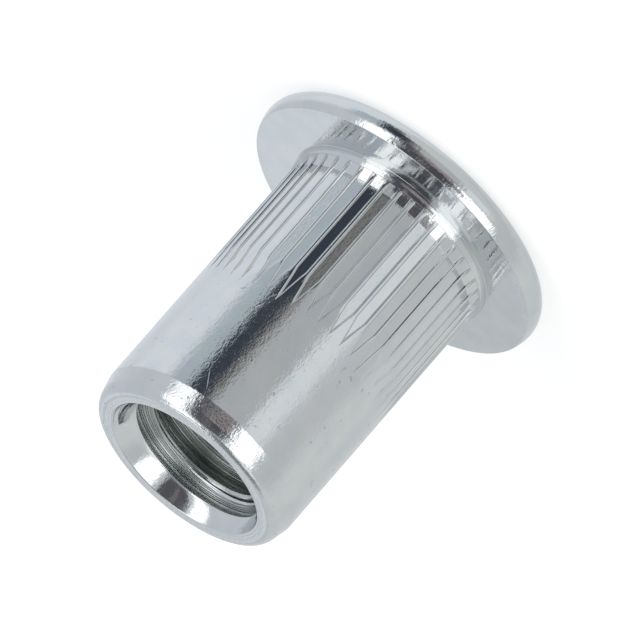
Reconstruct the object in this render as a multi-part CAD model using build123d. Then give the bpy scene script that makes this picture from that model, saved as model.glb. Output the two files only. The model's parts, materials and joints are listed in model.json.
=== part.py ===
from build123d import *

import math
import os

# A rivet nut: a one-piece blind threaded insert of plated steel for an 11 mm hole.
# It has a large flat flange, a straight-knurled shank whose flutes run out in points,
# and an open end with a rounded lead-in to the thread.
# It stands on its head: the flange's flat face lies at z = 0, with its centre at the
# origin, and +Z runs along the shank to the open end.
# All lengths are in millimetres and all angles in degrees.

# Overall form
overall_length = 17.6
shank_diameter = 10.95

# Flange, with a round rim that runs smoothly into the head face and meets the bearing
# face in a soft edge
flange_diameter = 16.26
flange_thickness = 1.5
rim_roundness = 0.533           # rim's radius as a share of the thickness; 0.5 is a half circle

# Smooth collar between the flange and the flutes
collar_projection = 0.125       # stands out from the shank
collar_height = 0.48
collar_crown = 0.04             # falls back from its foot to its far edge
collar_taper_length = 0.45      # cone that runs from the collar down to the shank

# Flutes: flat-floored grooves that leave narrow ribs between them
flute_count = 46
flute_width = 0.5               # across the floor
flute_depth = 0.09              # floor below the shank, at the flute's middle
flute_wall_angle = 28.0         # lean of the flute's walls from its own radial line
flute_setback = 0.05            # plain cone left between the collar and the flutes
flute_ramp_length = 0.6         # the floor's slope down from the collar
flute_reach = 8.63              # from the bearing face to the tips of the points
flute_point_length = 1.55
flute_point_bulge = 0.035       # the sides of a point bow out by this much

# Open end
end_taper_length = 0.73
end_taper_drop = 0.16           # loss of radius along the taper
end_edge_width = 0.325          # rounding between the taper and the flat end, across
end_edge_height = 0.525         # and along the axis
mouth_diameter = 8.44
mouth_edge_break = 0.08
lead_in_depth = 1.85

# Inside
thread_minor_diameter = 6.65    # M8 x 1.25: the wall is at the tips of the thread's ridges
thread_length = 6.05
clearance_bore_diameter = 9.0   # thin-walled part that folds up when the nut is set
bore_step_angle = 60.0          # slope of the step up to the thread, from the axis
head_countersink = 0.25

# Radii and levels that follow from these
shank_radius = shank_diameter / 2
flange_radius = flange_diameter / 2
mouth_radius = mouth_diameter / 2
thread_radius = thread_minor_diameter / 2
bore_radius = clearance_bore_diameter / 2
rim_radius = rim_roundness * flange_thickness
collar_end_z = flange_thickness + collar_height
collar_taper_end_z = collar_end_z + collar_taper_length
flute_start_z = collar_end_z + flute_setback
flute_floor_z = flute_start_z + flute_ramp_length
flute_tip_z = flange_thickness + flute_reach
flute_floor_radius = shank_radius - flute_depth
taper_end_z = overall_length - end_edge_height
taper_start_z = taper_end_z - end_taper_length
taper_end_radius = shank_radius - end_taper_drop
thread_end_z = overall_length - lead_in_depth
thread_start_z = thread_end_z - thread_length
bore_end_z = thread_start_z - (bore_radius - thread_radius) / math.tan(math.radians(bore_step_angle))


def half_section():
    """Section through the wall, with the radius along X and the axis along Y."""
    collar_foot = (shank_radius + collar_projection, flange_thickness)
    collar_edge = (shank_radius + collar_projection - collar_crown, collar_end_z)
    rim_centre_radius = flange_radius - rim_radius
    under_edge_reach = math.sqrt(flange_thickness * (2 * rim_radius - flange_thickness))
    under_edge = (rim_centre_radius + under_edge_reach, flange_thickness)
    taper_start = (shank_radius, taper_start_z)
    taper_end = (taper_end_radius, taper_end_z)
    end_face_edge = (taper_end_radius - end_edge_width, overall_length)

    with BuildSketch() as section:
        with BuildLine():
            Line((bore_radius + head_countersink, 0), (rim_centre_radius, 0))
            TangentArc((rim_centre_radius, 0), under_edge, tangent=(1, 0))
            Line(under_edge, collar_foot)
            TangentArc(collar_foot, collar_edge, tangent=(0, 1))
            Polyline(collar_edge, (shank_radius, collar_taper_end_z), taper_start, taper_end)
            TangentArc(taper_end, end_face_edge, tangent=Vector(taper_end) - Vector(taper_start))
            Polyline(
                end_face_edge,
                (mouth_radius + mouth_edge_break, overall_length),
                (mouth_radius, overall_length - mouth_edge_break),
                (thread_radius, thread_end_z),
                (thread_radius, thread_start_z),
                (bore_radius, bore_end_z),
                (bore_radius, head_countersink),
                (bore_radius + head_countersink, 0),
            )
        make_face()
    return section.sketch


def flute_outline():
    """Outline of a flute's floor, across it along X and up the shank along Y."""
    half_width = flute_width / 2
    shoulder_z = flute_tip_z - flute_point_length
    side_middle = Vector(half_width / 2 + flute_point_bulge, (shoulder_z + flute_tip_z) / 2)
    with BuildSketch() as outline:
        with BuildLine():
            Line((0, flange_thickness), (half_width, flange_thickness))
            Line((half_width, flange_thickness), (half_width, shoulder_z))
            ThreePointArc((half_width, shoulder_z), side_middle, (0, flute_tip_z))
            Line((0, flute_tip_z), (0, flange_thickness))
        make_face()
        mirror(about=Plane.YZ)
    return outline.sketch


def flute_cutter():
    """One flute on the +X side: leaning walls, a flat floor and a ramp up to the collar."""
    cut_height = flute_depth + collar_projection
    outer_radius = flute_floor_radius + cut_height
    cone_drop = collar_projection - collar_crown
    start_radius = shank_radius + cone_drop * (1 - flute_setback / collar_taper_length)
    ramp_slope = (start_radius - flute_floor_radius) / flute_ramp_length
    ramp_top_z = flute_floor_z - cut_height / ramp_slope

    floor_plane = Plane(origin=(flute_floor_radius, 0, 0), x_dir=(0, 1, 0), z_dir=(1, 0, 0))
    walls = extrude(floor_plane * flute_outline(), cut_height, taper=-flute_wall_angle)

    beyond_tip_z = flute_tip_z + cut_height
    with BuildSketch(Plane.XZ) as profile:
        with BuildLine():
            Polyline(
                (flute_floor_radius, flute_floor_z),
                (flute_floor_radius, beyond_tip_z),
                (outer_radius, beyond_tip_z),
                (outer_radius, ramp_top_z),
                close=True,
            )
        make_face()
    floor_and_ramp = extrude(profile.sketch, flute_width + cut_height, both=True)
    return walls & floor_and_ramp


def rivet_nut():
    """The turned blank with its flutes cut all round."""
    blank = revolve(Plane.XZ * half_section(), Axis.Z)
    cutter = flute_cutter()
    return blank - [place * cutter for place in PolarLocations(0, flute_count)]


os.makedirs("parts", exist_ok=True)
nut = rivet_nut()
nut.label = "rivet_nut"
export_step(nut, "parts/rivet_nut.step")
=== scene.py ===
"""A rivet nut of bright zinc-plated steel, standing on its flat head in a pale studio."""

import json
import math
import random

import bpy
from mathutils import Matrix, Vector


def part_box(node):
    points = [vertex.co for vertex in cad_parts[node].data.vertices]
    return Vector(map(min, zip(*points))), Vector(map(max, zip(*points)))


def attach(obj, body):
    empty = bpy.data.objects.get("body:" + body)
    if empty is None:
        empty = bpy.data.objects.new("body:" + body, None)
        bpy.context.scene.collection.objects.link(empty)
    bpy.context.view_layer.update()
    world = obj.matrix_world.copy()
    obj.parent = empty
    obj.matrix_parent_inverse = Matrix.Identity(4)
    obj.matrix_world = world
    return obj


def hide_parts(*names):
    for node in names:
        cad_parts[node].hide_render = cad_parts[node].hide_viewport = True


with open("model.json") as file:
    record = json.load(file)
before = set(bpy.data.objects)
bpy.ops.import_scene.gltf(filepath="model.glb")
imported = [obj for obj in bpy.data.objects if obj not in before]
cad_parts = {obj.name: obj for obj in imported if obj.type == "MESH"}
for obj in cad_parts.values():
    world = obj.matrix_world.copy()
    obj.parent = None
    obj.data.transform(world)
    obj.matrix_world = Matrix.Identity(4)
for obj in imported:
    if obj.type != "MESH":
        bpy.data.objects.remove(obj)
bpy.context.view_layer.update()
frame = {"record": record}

# ---------------------------------------------------------------------------------------------
# Sizes, in millimetres and degrees, in the CAD model's frame
# ---------------------------------------------------------------------------------------------
MILLIMETRE = 0.001

mounts = {mount["name"]: mount["dims"] for mount in frame["record"]["mounts"]}
shank_radius = mounts["shank"]["r_mm"]
thread_radius = mounts["screw_thread"]["r_mm"]
bore_radius = mounts["clearance_bore"]["r_mm"]
nut_low, nut_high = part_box("rivet_nut")
flange_radius = min(nut_high.x, nut_high.y, -nut_low.x, -nut_low.y) / MILLIMETRE
overall_length = nut_high.z / MILLIMETRE

flange_thickness = 1.5
rim_radius = 0.85               # on the head's side
rim_side_radius = 1.44          # and from there to the underside's edge
rim_side_angle = 24.5
rim_edge_break = 0.07
underside_slope = 1.9           # the underside rises a little towards the collar
foot_fillet = 0.03
collar_projection = 0.165
collar_height = 0.48
collar_crown = 0.089
collar_lean = 5.0               # at its foot; it leans in further towards the flutes
collar_taper_length = 0.95
flute_count = 46
flute_width = 0.5
flute_depth = 0.09
flute_wall_angle = 28.0
flute_setback = 0.035
flute_ramp_length = 0.6
flute_ramp_step = 0.005
flute_reach = 8.23
flute_point_length = 1.55
end_taper_length = 0.73
end_taper_drop = 0.16
end_edge_height = 0.525
end_edge_break = 0.5            # the end's edge turns over on this radius
end_edge_break_angle = 31.5     # from where its surface leans in by this angle
mouth_radius = 4.22
mouth_edge_break = 0.08
lead_in_depth = 1.85
thread_length = 6.05
bore_step_angle = 60.0
head_countersink = 0.25
inner_edge_break = 0.05         # at the bore's and the thread's edges
mouth_rounding = 0.1
taper_rounding = 0.6            # where the shank runs into the end's taper

thread_pitch = 1.25
thread_groove_radius = 4.08
thread_flank_angle = 30.0
thread_turned = 16.38           # height of a groove's middle on the side away from the camera
thread_lip = 0.045              # forming the thread raises a lip along each edge of its groove
thread_lip_width = 0.11

collar_end = flange_thickness + collar_height
collar_taper_end = collar_end + collar_taper_length
flute_start = collar_end + flute_setback
flute_floor_start = flute_start + flute_ramp_length
flute_tip = flange_thickness + flute_reach
flute_floor_radius = shank_radius - flute_depth
taper_end = overall_length - end_edge_height
taper_start = taper_end - end_taper_length
taper_end_radius = shank_radius - end_taper_drop
thread_end = overall_length - lead_in_depth
thread_start = thread_end - thread_length
bore_end = thread_start - (bore_radius - thread_radius) / math.tan(math.radians(bore_step_angle))

# The camera looks from this side, and it is rolled so that the nut's open end points down left.
camera_azimuth = -91.9
camera_elevation = 23.5
camera_roll = 131.1             # the axis in the picture, turned from the picture's right
camera_distance = 900.0
picture_scale = 0.046875        # millimetres to a pixel of a 640-pixel picture
aim_height = 7.334              # the picture's middle: this far up the axis
aim_side = 0.2                  # and this far beside it

# ---------------------------------------------------------------------------------------------
# The section through the wall: stations of (radius, height, normal along radius, along axis)
# ---------------------------------------------------------------------------------------------


def run(start, end, soft_start=0.0, soft_end=0.0, steps=1):
    """Stations along a straight line, which stops short of a soft corner at either end."""
    across, along = end[0] - start[0], end[1] - start[1]
    length = math.hypot(across, along)
    stations = []
    for step in range(steps + 1):
        share = (soft_start + (length - soft_start - soft_end) * step / steps) / length
        radius, height = start[0] + across * share, start[1] + along * share
        stations.append((radius, height, along / length, -across / length))
    return stations


def arc(centre, radius, start_angle, end_angle, steps):
    """Stations round an arc, which bulges outwards where its angle grows."""
    outwards = 1 if end_angle > start_angle else -1
    stations = []
    for step in range(steps + 1):
        angle = math.radians(start_angle + (end_angle - start_angle) * step / steps)
        across, along = math.cos(angle), math.sin(angle)
        place = (centre[0] + radius * across, centre[1] + radius * along)
        stations.append((*place, outwards * across, outwards * along))
    return stations


def roll(start, radius, start_angle, end_angle, steps):
    """Stations round an arc that leaves start with its normal at start_angle."""
    inwards = math.radians(start_angle)
    centre = (start[0] - radius * math.cos(inwards), start[1] - radius * math.sin(inwards))
    return arc(centre, radius, start_angle, end_angle, steps)


def arc_from(start, heading, end, steps):
    """Stations round the arc that leaves start along heading and ends at end."""
    chord = Vector(end) - Vector(start)
    ahead = Vector(heading).normalized()
    turn = math.asin((ahead.x * chord.y - ahead.y * chord.x) / chord.length)
    radius = chord.length / (2 * math.sin(turn))
    centre = Vector(start) + radius * Vector((-ahead.y, ahead.x))
    start_angle = math.degrees(math.atan2(start[1] - centre.y, start[0] - centre.x))
    return arc(centre, radius, start_angle, start_angle + math.degrees(2 * turn), steps)


def fillet(before, corner, after, radius, steps):
    """Stations round a corner between two straight lines."""
    come = (Vector(corner) - Vector(before)).normalized()
    go = (Vector(after) - Vector(corner)).normalized()
    turn = math.atan2(come.x * go.y - come.y * go.x, come.dot(go))
    bulge = math.copysign(radius, turn)
    start_normal = math.atan2(-come.x, come.y)
    start = Vector(corner) - come * radius * math.tan(abs(turn) / 2)
    centre = start - bulge * Vector((math.cos(start_normal), math.sin(start_normal)))
    stations = []
    for step in range(steps + 1):
        angle = start_normal + turn * step / steps
        across, along = math.cos(angle), math.sin(angle)
        stations.append((centre.x + bulge * across, centre.y + bulge * along, across, along))
    return stations


def smooth(share):
    """0 to 1 with a soft start and end."""
    share = min(1.0, max(0.0, share))
    return share * share * (3 - 2 * share)


def blank_radius(height):
    """Radius of the shank and its collar taper before the flutes are cut."""
    if height < collar_end:
        return shank_radius + collar_projection - collar_crown
    if height < collar_taper_end:
        share = (collar_taper_end - height) / collar_taper_length
        return shank_radius + (collar_projection - collar_crown) * share
    return shank_radius


# ---------------------------------------------------------------------------------------------
# Flutes: flat floors between leaning walls, with a ramp at the collar and a point at the tip
# ---------------------------------------------------------------------------------------------
flute_pitch = math.tau / flute_count
wall_lean = math.tan(math.radians(flute_wall_angle))
ramp_top = blank_radius(flute_start) - flute_ramp_step
ramp_slope = (ramp_top - flute_floor_radius) / flute_ramp_length
point_start = flute_tip - flute_point_length
columns_a_flute = 14
half_columns = columns_a_flute // 2
rib_rounding = 0.08             # ribs are rounded off this far down their walls
rib_crown = 0.015               # and their tops are a little crowned
rib_half_width = 0.13
rib_crown_start = 0.1           # over this height from the flutes' start
floor_rounding = 0.02
ramp_end_blend = 0.03
askew_ramps = {31: -3.0, 33: 4.0, 36: 4.0}      # flutes whose ramps are turned by a few degrees
foot_settle = 0.4               # below the flutes the mesh's columns even out over this height
tip_groove = 0.19               # a flute's point goes on as a narrow groove for this far
tip_settle = 1.6                # and above that the columns and rows even out over this height
shift_end = 0.2                 # rows follow their flute's tip up to here beyond it

chance = random.Random(1127)
flutes = []
for index in range(flute_count):
    flutes.append({
        "tip": chance.uniform(-0.34, 0.26),
        "depth": chance.uniform(-0.006, 0.006),
        "tilt": chance.uniform(-0.012, 0.012),
        "bulge": chance.uniform(-0.022, 0.012),
        "ramp_tilt": math.radians(askew_ramps.get(index, chance.uniform(-1.5, 1.5))),
    })


def half_floor(height, flute):
    """Half the floor's width. Beyond the tip it is below zero, which leaves a groove like a V."""
    if height < point_start:
        return flute_width / 2
    share = (height - point_start) / flute_point_length
    if share < 1:
        return (1 - share) * (flute_width / 2 + 4 * flute["bulge"] * share)
    return -(flute_width / 2 + 4 * flute["bulge"]) / flute_point_length * (height - flute_tip)


def floor_radius(height, flute):
    """Radius of the floor along the flute's middle line, with the ramp at its start."""
    floor = flute_floor_radius + flute["depth"]
    if height < flute_floor_start:
        floor += ramp_slope * (flute_floor_start - height)
    return floor


def wall_top(height, flute):
    """How far up the leaning wall it meets the blank, measured along the flute's radial line."""
    floor, half = floor_radius(height, flute), half_floor(height, flute)
    a = 1 + wall_lean**2
    b = 2 * (floor + half * wall_lean)
    c = floor**2 + half**2 - blank_radius(height) ** 2
    inside = b * b - 4 * a * c
    return max(0.0, (-b + math.sqrt(inside)) / (2 * a)) if inside > 0 else 0.0


def rounded_min(first, second, reach):
    """The lesser of two values, rounded off where they differ by less than reach."""
    overlap = max(0.0, reach - abs(first - second))
    return min(first, second) - overlap * overlap / (4 * reach)


def rib_drop(angle, height):
    """How far the crowned top of a rib falls away towards its edge."""
    across = min(1.0, (flute_pitch / 2 - abs(angle)) * shank_radius / rib_half_width)
    begun = smooth((height - flute_start) / rib_crown_start)
    ended = smooth((height - point_start) / flute_point_length)
    return rib_crown * across**2 * (2 - across**2) * (begun * (1 - ended))


def cut_radius(angle, height, flute):
    """Radius of the surface at an angle from a flute's middle line."""
    floor, half = floor_radius(height, flute), half_floor(height, flute)
    depth = wall_top(height, flute) - max(0.0, -half / wall_lean)
    blank = blank_radius(height) - rib_drop(angle, height)
    if depth < 1e-4:
        return blank
    on_ramp = 1 - smooth((height - flute_floor_start + ramp_end_blend / 2) / ramp_end_blend)
    tilt = flute["tilt"] + flute["ramp_tilt"] * on_ramp
    bottom = floor * math.cos(tilt) / math.cos(angle - tilt)
    slope = math.sin(abs(angle)) - wall_lean * math.cos(angle)
    wall = (half - wall_lean * floor) / slope if slope < -1e-6 else 1e9
    groove = -rounded_min(-bottom, -wall, min(floor_rounding, depth * 0.3))
    return rounded_min(blank, groove, min(rib_rounding, depth * 0.9))


def column_angles(height, flute):
    """Angles of the mesh's columns on one side of a flute, from its middle line to the rib's.

    They follow the floor's edge, the wall and the rib's shoulder.
    """
    even = [flute_pitch / 2 * column / half_columns for column in range(half_columns + 1)]
    reach = max(flute_start, min(height, flute_tip + tip_groove))
    floor, half = floor_radius(reach, flute), half_floor(reach, flute)
    top = wall_top(reach, flute)
    drop = max(0.0, -half / wall_lean)
    inner = max(half, 0.0)
    low = drop + (top - drop) * 0.2
    high = drop + (top - drop) * 0.55
    wide = math.atan2(half + wall_lean * top, floor + top)
    shoulder = wall_lean * min(rib_rounding, (top - drop) * 0.9) / shank_radius
    marks = [
        0.0,
        math.atan2(max(inner - 0.02, inner * 0.6), floor),
        math.atan2(half + wall_lean * low, floor + low),
        math.atan2(half + wall_lean * high, floor + high),
        wide + shoulder * 0.05,
        wide + shoulder * 0.45,
        wide + shoulder,
        flute_pitch / 2,
    ]
    for column in range(1, half_columns):
        marks[column] = max(marks[column], marks[column - 1] + 0.0006)
    below = max(flute_start - height, 0.0) / foot_settle
    above = max(height - flute_tip - tip_groove, 0.0) / tip_settle
    relax = smooth(below + above)
    return [mark + (level - mark) * relax for mark, level in zip(marks, even)]


# ---------------------------------------------------------------------------------------------
# Thread and lead-in
# ---------------------------------------------------------------------------------------------
flank = math.tan(math.radians(thread_flank_angle))
groove_half = thread_pitch / 16
lead_in_slope = (mouth_radius - thread_radius) / (lead_in_depth - mouth_edge_break)


def bare_radius(height):
    """Radius of the hole before the thread is cut: step, plain wall and lead-in."""
    step = (thread_start - height) * math.tan(math.radians(bore_step_angle))
    lead_in = lead_in_slope * (height - thread_end)
    return thread_radius + max(thread_lip, step, lead_in)


def groove_radius(offset):
    """Radius of the thread's groove at a height above or below its middle."""
    return thread_groove_radius - max(0.0, abs(offset) - groove_half) / flank


def groove_depth(height, middle):
    """How far a groove goes below the lips here; less than zero outside it."""
    return groove_radius(height - middle) - bare_radius(height) + thread_lip


def groove_span(middle):
    """Lowest and highest point at which a groove cuts the bare hole."""
    corners = (middle - groove_half, middle + groove_half, thread_start, thread_end)
    deepest = max(corners, key=lambda height: groove_depth(height, middle))
    if groove_depth(deepest, middle) <= 0:
        return middle, middle
    span = []
    for side in (-1, 1):
        inside, outside = 0.0, thread_pitch
        for _ in range(30):
            step = (inside + outside) / 2
            if groove_depth(deepest + side * step, middle) > 0:
                inside = step
            else:
                outside = step
        span.append(deepest + side * inside)
    return span[0], span[1]


# ---------------------------------------------------------------------------------------------
# The nut's mesh
# ---------------------------------------------------------------------------------------------
points, normals, faces = [], [], []
slope_step = 1e-4               # over which the slopes of the surfaces are measured


def add_point(azimuth, radius, height, across, along, around=0.0):
    """One vertex, with its normal given along the radius, the axis and the turn."""
    c, s = math.cos(azimuth), math.sin(azimuth)
    points.append((radius * c * MILLIMETRE, radius * s * MILLIMETRE, height * MILLIMETRE))
    normals.append(Vector((across * c - around * s, across * s + around * c, along)).normalized())
    return len(points) - 1


def fluted_point(azimuth, angle, height, flute, shift):
    """One vertex of the fluted shank; shift moves the flute's tip along the axis."""
    step = slope_step
    here = cut_radius(angle, height, flute)
    onwards = cut_radius(angle + step, height, flute) - cut_radius(angle - step, height, flute)
    upwards = cut_radius(angle, height + step, flute) - cut_radius(angle, height - step, flute)
    turned, rise = onwards / (2 * step), upwards / (2 * step)
    return add_point(azimuth, here, height + shift, 1.0, -rise, -turned / here)


def ring(station):
    """A ring of vertices at one station of the section, evenly spaced at every other column."""
    return [add_point(azimuth, *station) for azimuth in azimuths]


def flute_ring(height, tip_shift):
    """A ring of vertices round the fluted part; the columns follow the flutes' edges."""
    row = []
    for index, flute in enumerate(flutes):
        middle = index * flute_pitch
        angles = column_angles(height, flute)
        after = flutes[(index + 1) % flute_count]
        before = flutes[index - 1]
        for column in range(-half_columns, half_columns):
            neighbour = before if column < 0 else after
            angle = math.copysign(angles[abs(column)], column)
            shoulder = angles[half_columns - 1]
            edge = smooth((abs(angle) - shoulder) / (flute_pitch / 2 - shoulder))
            shift = flute["tip"] + (neighbour["tip"] - flute["tip"]) * 0.5 * edge
            row.append(fluted_point(middle + angle, angle, height, flute, shift * tip_shift))
    return row


def join(low, high):
    """Faces between two rings, of which one may have twice the other's columns."""
    if len(low) == len(high):
        for i in range(len(low)):
            faces.append((low[i - 1], low[i], high[i], high[i - 1]))
        return
    coarse, fine = (high, low) if len(low) > len(high) else (low, high)
    for i in range(len(coarse)):
        corner, after = coarse[i - 1], coarse[i]
        first, middle, last = fine[2 * i - 2], fine[2 * i - 1], fine[2 * i]
        fan = [(corner, after, middle), (corner, middle, first), (after, last, middle)]
        if coarse is high:
            fan = [face[::-1] for face in fan]
        faces.extend(fan)


columns = flute_count * columns_a_flute
azimuths = [math.tau * (i - half_columns) / columns for i in range(0, columns, 2)]

rim_centre = (flange_radius - rim_radius, rim_radius)
rim_side = roll((flange_radius, rim_radius), rim_side_radius, 0, rim_side_angle, 9)
rim_edge = roll(rim_side[-1][:2], rim_edge_break, rim_side_angle, 90 - underside_slope, 6)
under_edge = rim_edge[-1][:2]
collar_radius = shank_radius + collar_projection
underside_rise = math.tan(math.radians(underside_slope))
foot_height = under_edge[1] + (under_edge[0] - collar_radius) * underside_rise
head_edge = (bore_radius + head_countersink, 0.0)
bore_edge = (bore_radius, head_countersink)
collar_foot = (collar_radius, foot_height)
collar_side = (collar_foot[0], collar_foot[1] + foot_fillet)
collar_edge = (collar_foot[0] - collar_crown, collar_end)
taper_top = (taper_end_radius, taper_end)
taper_angle = math.degrees(math.atan2(end_taper_drop, end_taper_length))
mouth_edge = (mouth_radius + lead_in_slope * mouth_edge_break, overall_length)
lead_in_end = (thread_radius, thread_end)

flange_section = (
    fillet(bore_edge, head_edge, rim_centre, inner_edge_break, 3)
    + arc(rim_centre, rim_radius, -90, 0, 14)
    + rim_side[1:]
    + rim_edge[1:]
    + run(under_edge, collar_foot, 0.08, 0.2, 3)
    + fillet(under_edge, collar_foot, collar_side, foot_fillet, 5)
    + arc_from(collar_side, (-math.tan(math.radians(collar_lean)), 1), collar_edge, 8)[1:]
)
flute_heights = (
    [collar_end + 0.015, flute_start - 0.012, flute_start + 0.02]
    + [flute_start + flute_ramp_length * share for share in (0.2, 0.4, 0.6, 0.8)]
    + [flute_floor_start - 0.02, flute_floor_start + 0.02]
    + [flute_floor_start + (point_start - flute_floor_start) * share for share in (0.33, 0.67)]
)
point_heights = (
    [point_start + flute_point_length * step / 14 for step in range(14)]
    + [flute_tip - 0.05, flute_tip, flute_tip + 0.06, flute_tip + 0.12, flute_tip + 0.18]
    + [flute_tip + rise for rise in (0.24, 0.4, 0.6, 0.9, 1.2, 1.5, 1.8)]
)
low_sine, high_sine = math.sin(math.radians(taper_angle)), math.sin(math.radians(end_edge_break_angle))
end_edge_radius = (end_edge_height - end_edge_break * (1 - high_sine)) / (high_sine - low_sine)
end_edge = roll(taper_top, end_edge_radius, taper_angle, end_edge_break_angle, 4)
end_edge += roll(end_edge[-1][:2], end_edge_break, end_edge_break_angle, 90, 9)[1:]
end_face_edge = end_edge[-1][:2]
end_section = (
    run((shank_radius, flute_tip + 2.3), (shank_radius, taper_start), 0.0, 0.2, 3)
    + fillet((shank_radius, flute_tip), (shank_radius, taper_start), taper_top, taper_rounding, 4)
    + end_edge
    + run(end_face_edge, mouth_edge, 0.15, 0.2)
    + fillet(end_face_edge, mouth_edge, lead_in_end, mouth_rounding, 6)
)
hole_section = (
    fillet(lead_in_end, (bore_radius, bore_end), bore_edge, inner_edge_break, 3)
    + fillet((bore_radius, bore_end), bore_edge, head_edge, inner_edge_break, 3)
)

rings = [ring(station) for station in flange_section]
rings += [flute_ring(height, 0.0) for height in flute_heights]
for height in point_heights:
    moved = smooth((height - point_start) / flute_point_length)
    settled = smooth((height - flute_tip - shift_end) / tip_settle)
    rings.append(flute_ring(height, moved * (1 - settled)))
rings += [ring(station) for station in end_section]
for low, high in zip(rings, rings[1:]):
    join(low, high)


def hole_radius(level, middle):
    """Radius of the threaded hole in and beside the groove whose middle is given."""
    low, high = groove_span(middle)
    if low < level < high:
        return groove_radius(level - middle)
    beyond = level - high if level >= high else low - level
    lip = thread_lip * (1 - smooth(beyond / thread_lip_width)) if high > low else 0.0
    return bare_radius(level) - lip


def hole_point(azimuth, height, middle):
    """One vertex of the threaded hole, in the groove whose middle is given or beside it."""
    step = slope_step
    climb = thread_pitch * step / math.tau
    here = hole_radius(height, middle)
    onwards = hole_radius(height, middle + climb) - hole_radius(height, middle - climb)
    upwards = hole_radius(height + step, middle) - hole_radius(height - step, middle)
    turned, rise = onwards / (2 * step), upwards / (2 * step)
    return add_point(azimuth, here, height, -1.0, rise, turned / here)


hole_top = end_section[-1][1] - 0.05
hole_bottom = bore_end + 0.06
away = math.radians(camera_azimuth + 180)
first_groove = math.floor((thread_start - thread_turned) / thread_pitch) - 2
last_groove = math.ceil((hole_top - thread_turned) / thread_pitch) + 1
soft_crest = 0.022
soft_root = 0.02
lip_levels = [soft_crest, thread_lip_width * 0.4, thread_lip_width * 0.8]
wall_levels = [thread_start - 0.04, thread_start + 0.04, thread_end - 0.03, thread_end + 0.15]
rows_a_groove = 20


def thread_levels(lead):
    """Heights up one column of the hole, each with the middle of the groove that it belongs to."""
    marks = []
    for number in range(first_groove, last_groove + 1):
        middle = thread_turned + thread_pitch * (number + lead)
        low, high = groove_span(middle)
        next_low, _ = groove_span(middle + thread_pitch)
        levels = [
            low + soft_crest,
            middle - groove_half - soft_root,
            middle - groove_half + soft_root,
            middle + groove_half - soft_root,
            middle + groove_half + soft_root,
            high - soft_crest,
        ]
        marks += [(min(max(level, low), high), middle) for level in levels]
        half_way = (high + next_low) / 2
        after = [high + rise for rise in lip_levels] + wall_levels
        marks += [(min(max(level, high), half_way), middle) for level in after]
        before = wall_levels + [next_low - drop for drop in reversed(lip_levels)]
        marks += [(min(max(level, half_way), next_low), middle + thread_pitch) for level in before]
    return [(min(max(level, hole_bottom), hole_top), middle) for level, middle in marks]


def thread_column(azimuth, lead):
    """One column of the hole's vertices; levels that fall together share a vertex."""
    column, last = [], None
    for level, middle in thread_levels(lead):
        if last is None or level - last > 1e-5:
            column.append(hole_point(azimuth, level, middle))
            last = level
        else:
            column.append(column[-1])
    return column


leads = [((azimuth - away) % math.tau) / math.tau for azimuth in azimuths]
hole = [thread_column(azimuth, lead) for azimuth, lead in zip(azimuths, leads)]
rows = len(hole[0])
for i in range(len(hole)):
    j = (i + 1) % len(hole)
    shift = rows_a_groove if leads[j] < leads[i] else 0
    for row in range(rows - 1):
        here, above = min(row + shift, rows - 1), min(row + 1 + shift, rows - 1)
        corners = (hole[i][row + 1], hole[j][above], hole[j][here], hole[i][row])
        face = [corner for k, corner in enumerate(corners) if corner != corners[k - 1]]
        if len(face) > 2:
            faces.append(face)

join(rings[-1], [column[-1] for column in hole])
rings = [[column[0] for column in hole]] + [ring(station) for station in hole_section] + rings[:1]
for low, high in zip(rings, rings[1:]):
    join(low, high)

mesh = bpy.data.meshes.new("rivet nut")
mesh.from_pydata(points, [], faces)
mesh.shade_smooth()
mesh.normals_split_custom_set_from_vertices(normals)
nut = bpy.data.objects.new("rivet_nut_plated", mesh)
bpy.context.scene.collection.objects.link(nut)

# ---------------------------------------------------------------------------------------------
# Node helpers
# ---------------------------------------------------------------------------------------------


def tree_of(*values):
    """The node tree that the first socket among these values belongs to."""
    return next(value.id_data for value in values if isinstance(value, bpy.types.NodeSocket))


def link(source, target):
    """Plugs a socket in, or sets the target's own value."""
    if isinstance(source, bpy.types.NodeSocket):
        tree_of(target).links.new(source, target)
    else:
        target.default_value = source


def calculate(operation, first, second=0.0):
    """The result of a maths node. At least one of the two values is a socket."""
    node = tree_of(first, second).nodes.new("ShaderNodeMath")
    node.operation = operation
    link(first, node.inputs[0])
    link(second, node.inputs[1])
    return node.outputs[0]


def product(*factors):
    """Socket for the factors multiplied."""
    result = factors[0]
    for factor in factors[1:]:
        result = calculate("MULTIPLY", result, factor)
    return result


def total(*parts):
    """Socket for the parts added up."""
    result = parts[0]
    for part in parts[1:]:
        result = calculate("ADD", result, part)
    return result


def fade(value, start, end, low=0.0, high=1.0):
    """Goes softly from low to high as value goes from start to end."""
    node = tree_of(value).nodes.new("ShaderNodeMapRange")
    node.interpolation_type = "SMOOTHSTEP"
    link(value, node.inputs["Value"])
    for name, level in (("From Min", start), ("From Max", end), ("To Min", low), ("To Max", high)):
        link(level, node.inputs[name])
    return node.outputs[0]


def between(value, low, high, blur):
    """1 from low to high and 0 elsewhere, with soft edges."""
    rise = fade(value, low - blur, low + blur)
    fall = fade(value, high - blur, high + blur, 1.0, 0.0)
    return product(rise, fall)


def blend(share, first, second):
    """A colour between two others."""
    node = tree_of(share).nodes.new("ShaderNodeMix")
    node.data_type = "RGBA"
    link(share, node.inputs["Factor"])
    link(first, node.inputs["A"])
    link(second, node.inputs["B"])
    return node.outputs["Result"]


def noise(place, scale, detail=2.0, roughness=0.5):
    """Cloudy values round 0.5."""
    node = tree_of(place).nodes.new("ShaderNodeTexNoise")
    link(place, node.inputs["Vector"])
    link(scale, node.inputs["Scale"])
    link(detail, node.inputs["Detail"])
    link(roughness, node.inputs["Roughness"])
    return node.outputs["Fac"]


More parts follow.
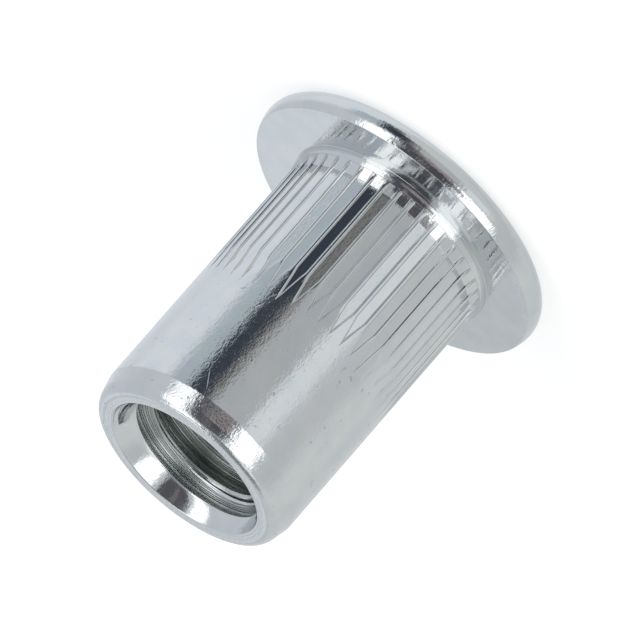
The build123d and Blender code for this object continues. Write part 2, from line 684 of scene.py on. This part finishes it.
def stretched(place, scale):
    """The place with each of its axes multiplied."""
    node = tree_of(place).nodes.new("ShaderNodeMapping")
    link(place, node.inputs["Vector"])
    node.inputs["Scale"].default_value = scale
    return node.outputs["Vector"]


def combined(x, y, z=0.0):
    """A place made of three values, of which at least one is a socket."""
    node = tree_of(x, y, z).nodes.new("ShaderNodeCombineXYZ")
    for value, target in zip((x, y, z), node.inputs):
        link(value, target)
    return node.outputs[0]


# ---------------------------------------------------------------------------------------------
# Bright zinc plate over drawn steel
# ---------------------------------------------------------------------------------------------
zinc = bpy.data.materials.new("bright zinc plate")
zinc.use_nodes = True
zinc_nodes = zinc.node_tree.nodes
shader = zinc_nodes["Principled BSDF"]
shader.inputs["Metallic"].default_value = 1
millimetres = stretched(zinc_nodes.new("ShaderNodeTexCoord").outputs["Object"], (1000, 1000, 1000))
place = zinc_nodes.new("ShaderNodeSeparateXYZ")
link(millimetres, place.inputs[0])
place_x, place_y, place_height = place.outputs
place_radius = calculate("SQRT", total(product(place_x, place_x), product(place_y, place_y)))
place_turn = calculate("ARCTAN2", place_y, place_x)


def scratch(at_turn, at_height, slant, length, width):
    """A scratch on the shank: where its middle is, its slant from the axis, its length and width."""
    along_arc = product(total(place_turn, -math.radians(at_turn)), shank_radius)
    up = total(place_height, -at_height)
    c, s = math.cos(math.radians(slant)), math.sin(math.radians(slant))
    ahead = total(product(up, c), product(along_arc, s))
    aside = total(product(along_arc, c), product(up, -s))
    return product(
        between(ahead, -length / 2, length / 2, length / 5),
        between(aside, -width / 4, width / 4, width / 3),
        on_shank,
    )


# The shank and its end were drawn through tools, so their plate has a coarser grain.
on_shank = between(place_radius, 4.75, 5.8, 0.1)
plain = product(between(place_height, 9.8, 18.5, 0.4), on_shank)
rim = fade(place_radius, 7.5, 7.9)
inside = fade(place_radius, 4.3, 4.4, 1.0, 0.0)

cloud = noise(millimetres, 0.8, 2.0)
grain = noise(stretched(millimetres, (1, 1, 0.55)), 5.5, 2.0, 0.6)
fleck = noise(stretched(millimetres, (1, 1, 0.7)), 13.0, 1.0)
pit = fade(noise(millimetres, 3.1, 1.0), 0.69, 0.78)
grain_amount = total(0.3, product(plain, 0.45), product(rim, 0.3))
bumps = product(total(grain, product(fleck, 0.45), product(pit, -0.5)), grain_amount)

# The thread is dull, and its colour carries painted shade: all of it below the lead-in, and its groove
# where it runs out there.
deep = product(fade(place_height, 15.6, 16.1, 1.0, 0.0), inside)
widening = calculate("MAXIMUM", product(total(place_height, -thread_end), lead_in_slope), 0.0)
wall_radius = total(widening, thread_radius)
run_out = product(
    fade(total(place_radius, product(wall_radius, -1.0)), 0.02, 0.07),
    fade(place_height, 16.9, 17.2, 1.0, 0.0),
    inside,
    total(1.0, product(deep, -1.0)),
)

# Tool marks follow the thread inside, and circle the axis on the end faces.
winding = total(product(place_height, math.tau / thread_pitch), product(place_turn, -1.0))
wound_x = product(calculate("COSINE", winding), 3.4)
wound_y = product(calculate("SINE", winding), 3.4)
wound_noise = noise(combined(wound_x, wound_y, product(place_radius, 7.0)), 1.0, 3.0, 0.6)
marks = product(wound_noise, total(product(inside, 0.3), product(deep, 3.0), product(run_out, 6.0)))
circle_noise = noise(combined(product(place_radius, 9.0), product(place_turn, 0.4)), 1.0, 2.0)
on_ends = total(fade(place_height, 17.5, 17.58), fade(place_height, 0.02, 0.1, 1.0, 0.0))
circles = product(circle_noise, on_ends, 0.35)

# Two scratches beside the front's dark reflection, and a few more all round.
scratch_count = 7
scratches = total(
    scratch(camera_azimuth + 24.7, 10.3, 31.0, 0.72, 0.05),
    scratch(camera_azimuth + 26.4, 11.0, 35.0, 0.34, 0.05),
)
for _ in range(scratch_count):
    spot = (chance.uniform(-180, 180), chance.uniform(10.5, 15.8), chance.uniform(-60, 60))
    scratches = total(scratches, scratch(*spot, chance.uniform(0.3, 1.1), 0.035))

bump = zinc_nodes.new("ShaderNodeBump")
bump.inputs["Distance"].default_value = 0.014 * MILLIMETRE
link(total(bumps, marks, circles, product(scratches, -0.25)), bump.inputs["Height"])
link(bump.outputs["Normal"], shader.inputs["Normal"])

polish = fade(cloud, 0.3, 0.7, 0.07, 0.1)
dull = total(fade(grain, 0.35, 0.7, 0.09, 0.15), product(plain, 0.02))
roughness = zinc_nodes.new("ShaderNodeMix")
link(total(product(plain, 0.8), product(inside, 0.6)), roughness.inputs["Factor"])
link(polish, roughness.inputs["A"])
link(dull, roughness.inputs["B"])
rougher = total(roughness.outputs["Result"], product(deep, 0.23), product(run_out, 0.09))
link(rougher, shader.inputs["Roughness"])

tint = blend(fade(cloud, 0.3, 0.7), (0.635, 0.665, 0.685, 1), (0.68, 0.7, 0.705, 1))
haze = noise(stretched(millimetres, (1, 1, 0.4)), 1.7, 1.0)
tint = blend(fade(haze, 0.5, 0.75, 0.0, 0.6), tint, (0.66, 0.69, 0.66, 1))
tint = blend(fade(haze, 0.25, 0.5, 0.5, 0.0), tint, (0.69, 0.675, 0.705, 1))
tint = blend(product(pit, plain, 0.6), tint, (0.4, 0.41, 0.42, 1))
# painted shade: the deep thread and its run-out groove are darkened in colour
tint = blend(total(product(deep, 0.9), product(run_out, 0.6)), tint, (0.37, 0.42, 0.4, 1))
link(tint, shader.inputs["Base Color"])
mesh.materials.append(zinc)

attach(nut, "root")
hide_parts("rivet_nut")

# ---------------------------------------------------------------------------------------------
# Floor
# ---------------------------------------------------------------------------------------------
floor_mesh = bpy.data.meshes.new("floor")
floor_reach = 3.0
floor_corners = [(floor_reach * x, floor_reach * y, 0) for x, y in ((-1, -1), (1, -1), (1, 1), (-1, 1))]
floor_mesh.from_pydata(floor_corners, [], [(0, 1, 2, 3)])
floor = bpy.data.objects.new("floor", floor_mesh)
bpy.context.scene.collection.objects.link(floor)
floor.visible_glossy = False
paper = bpy.data.materials.new("white paper")
paper.use_nodes = True
paper_nodes = paper.node_tree.nodes
paper_shader = paper_nodes["Principled BSDF"]
paper_shader.inputs["Base Color"].default_value = (0.6, 0.6, 0.6, 1)
paper_shader.inputs["Roughness"].default_value = 1
paper_shader.inputs["Specular IOR Level"].default_value = 0
paper_shader.inputs["Emission Color"].default_value = (1, 1, 1, 1)
# The paper looks white to the camera, gives the nut no extra light and isn't mirrored in it.
path = paper_nodes.new("ShaderNodeLightPath").outputs
seen = total(path["Is Camera Ray"], path["Is Glossy Ray"], path["Is Transmission Ray"])
link(product(seen, 0.6), paper_shader.inputs["Emission Strength"])
floor_mesh.materials.append(paper)

# ---------------------------------------------------------------------------------------------
# Studio: a pale room with soft boxes and dark flags, placed by angle as seen from the nut
# ---------------------------------------------------------------------------------------------
world = bpy.data.worlds.new("studio")
bpy.context.scene.world = world
world.use_nodes = True
world_nodes = world.node_tree.nodes
compass = world_nodes.new("ShaderNodeVectorRotate")
compass.rotation_type = "Z_AXIS"
compass.inputs["Angle"].default_value = -math.radians(camera_azimuth)
link(world_nodes.new("ShaderNodeTexCoord").outputs["Generated"], compass.inputs["Vector"])
heading = world_nodes.new("ShaderNodeSeparateXYZ")
link(compass.outputs[0], heading.inputs[0])
heading_x, heading_y, heading_z = heading.outputs
side = product(calculate("ARCTAN2", product(heading_y, -1.0), heading_x), 180 / math.pi)
lift = product(calculate("ARCSINE", heading_z), 180 / math.pi)


def panel(behind, side_span, lift_span, blur, colour, lean=0.0):
    """A soft-edged rectangle in front of what is behind it; lean slants its upright edges."""
    leaning = total(side, product(lift, lean))
    share = product(between(leaning, *side_span, blur), between(lift, *lift_span, blur))
    return blend(share, behind, (*colour, 1))


# The first span goes sideways from the camera's direction, positive to the picture's right, and the
# second goes upwards from the horizon.
room = blend(fade(lift, -60, 60), (0.72, 0.74, 0.75, 1), (0.71, 0.74, 0.75, 1))
# walls and table: cooler to the left, greyer to the right
room = panel(room, (-210, -126), (-90, -14), 7, (0.8, 0.84, 0.89))
room = panel(room, (-126, -56), (-90, -14), 7, (0.88, 0.92, 0.97))
room = panel(room, (-210, -70), (-12, 62), 6, (0.69, 0.72, 0.77))
room = panel(room, (-210, -160), (12, 40), 6, (0.82, 0.86, 0.91))
room = panel(room, (160, 210), (12, 40), 6, (0.65, 0.68, 0.7))
room = panel(room, (48, 80), (-90, 40), 8, (0.66, 0.67, 0.68))
room = panel(room, (84, 118), (-40, 40), 10, (0.77, 0.79, 0.78))
# things on the table in front of the nut
room = panel(room, (-76, -48), (-31, -9), 5, (0.53, 0.59, 0.64))
room = panel(room, (-58, -38), (-44, -29), 3, (0.14, 0.14, 0.15))
room = panel(room, (-26, 18), (-30, -7), 3, (0.55, 0.56, 0.57))
room = panel(room, (18, 42), (-30, -9), 3, (0.89, 0.92, 0.93))
room = panel(room, (-34, -22), (-30, -9), 3, (0.27, 0.26, 0.25))
room = panel(room, (-52, -30), (-30, -9), 2.5, (0.05, 0.06, 0.08))
# soft boxes to either side of the camera
room = panel(room, (-62, -36), (-3, 64), 2.5, (1.7, 1.7, 1.7), 0.28)
room = panel(room, (13, 48), (-4, 68), 2.5, (1.7, 1.7, 1.7), -0.2)
# the camera and what is round it
room = panel(room, (-10, 13), (-8, 4), 2.5, (0.35, 0.3, 0.3))
room = panel(room, (-24, -10), (-8, 4), 2, (0.26, 0.25, 0.26))
room = panel(room, (8, 20), (3, 14), 1.5, (0.4, 0.39, 0.41))
room = panel(room, (-36, -22), (-10, 27), 2.5, (0.1, 0.1, 0.12))
room = panel(room, (-41, -31), (2, 14), 2, (0.5, 0.51, 0.52))
room = panel(room, (-24, 10), (3, 29), 1.5, (0.09, 0.09, 0.1))
room = panel(room, (-37, 11), (27, 63), 3, (0.11, 0.11, 0.12))
room = panel(room, (-17, -13), (8, 50), 1.5, (0.3, 0.26, 0.26))
# a dim ceiling with soft boxes
room = blend(fade(lift, 64, 72), room, (0.26, 0.29, 0.29, 1))
room = panel(room, (100, 200), (52, 95), 4, (0.3, 0.32, 0.32))
room = panel(room, (52, 92), (50, 74), 4, (1.1, 1.1, 1.1))
room = panel(room, (-210, -142), (58, 72), 4, (1.3, 1.3, 1.3))
room = panel(room, (-120, -56), (60, 87), 3, (1.7, 1.7, 1.7))
link(room, world_nodes["Background"].inputs["Color"])

# ---------------------------------------------------------------------------------------------
# Camera
# ---------------------------------------------------------------------------------------------
sight_turn, sight_lift = math.radians(camera_azimuth), math.radians(camera_elevation)
level = math.cos(sight_lift)
towards = Vector((math.cos(sight_turn) * level, math.sin(sight_turn) * level, math.sin(sight_lift)))
beside = Vector((math.sin(sight_turn), -math.cos(sight_turn), 0.0))
along_axis = beside.cross(towards)
axis_turn = math.radians(camera_roll)
picture_right = along_axis * math.cos(axis_turn) + beside * math.sin(axis_turn)
picture_up = -along_axis * math.sin(axis_turn) + beside * math.cos(axis_turn)
aim = Vector((0, 0, aim_height)) + beside * aim_side
eye = aim + towards * camera_distance
camera_data = bpy.data.cameras.new("camera")
camera_data.sensor_width = 36
camera_data.lens = camera_data.sensor_width / 640 / picture_scale * camera_distance
camera_data.clip_start = 0.01
camera_data.clip_end = 20
camera = bpy.data.objects.new("camera", camera_data)
bpy.context.scene.collection.objects.link(camera)
frame_axes = Matrix((picture_right, picture_up, towards)).transposed().to_4x4()
camera.matrix_world = Matrix.Translation(eye * MILLIMETRE) @ frame_axes
bpy.context.scene.camera = camera
bpy.context.scene.view_settings.view_transform = "Standard"
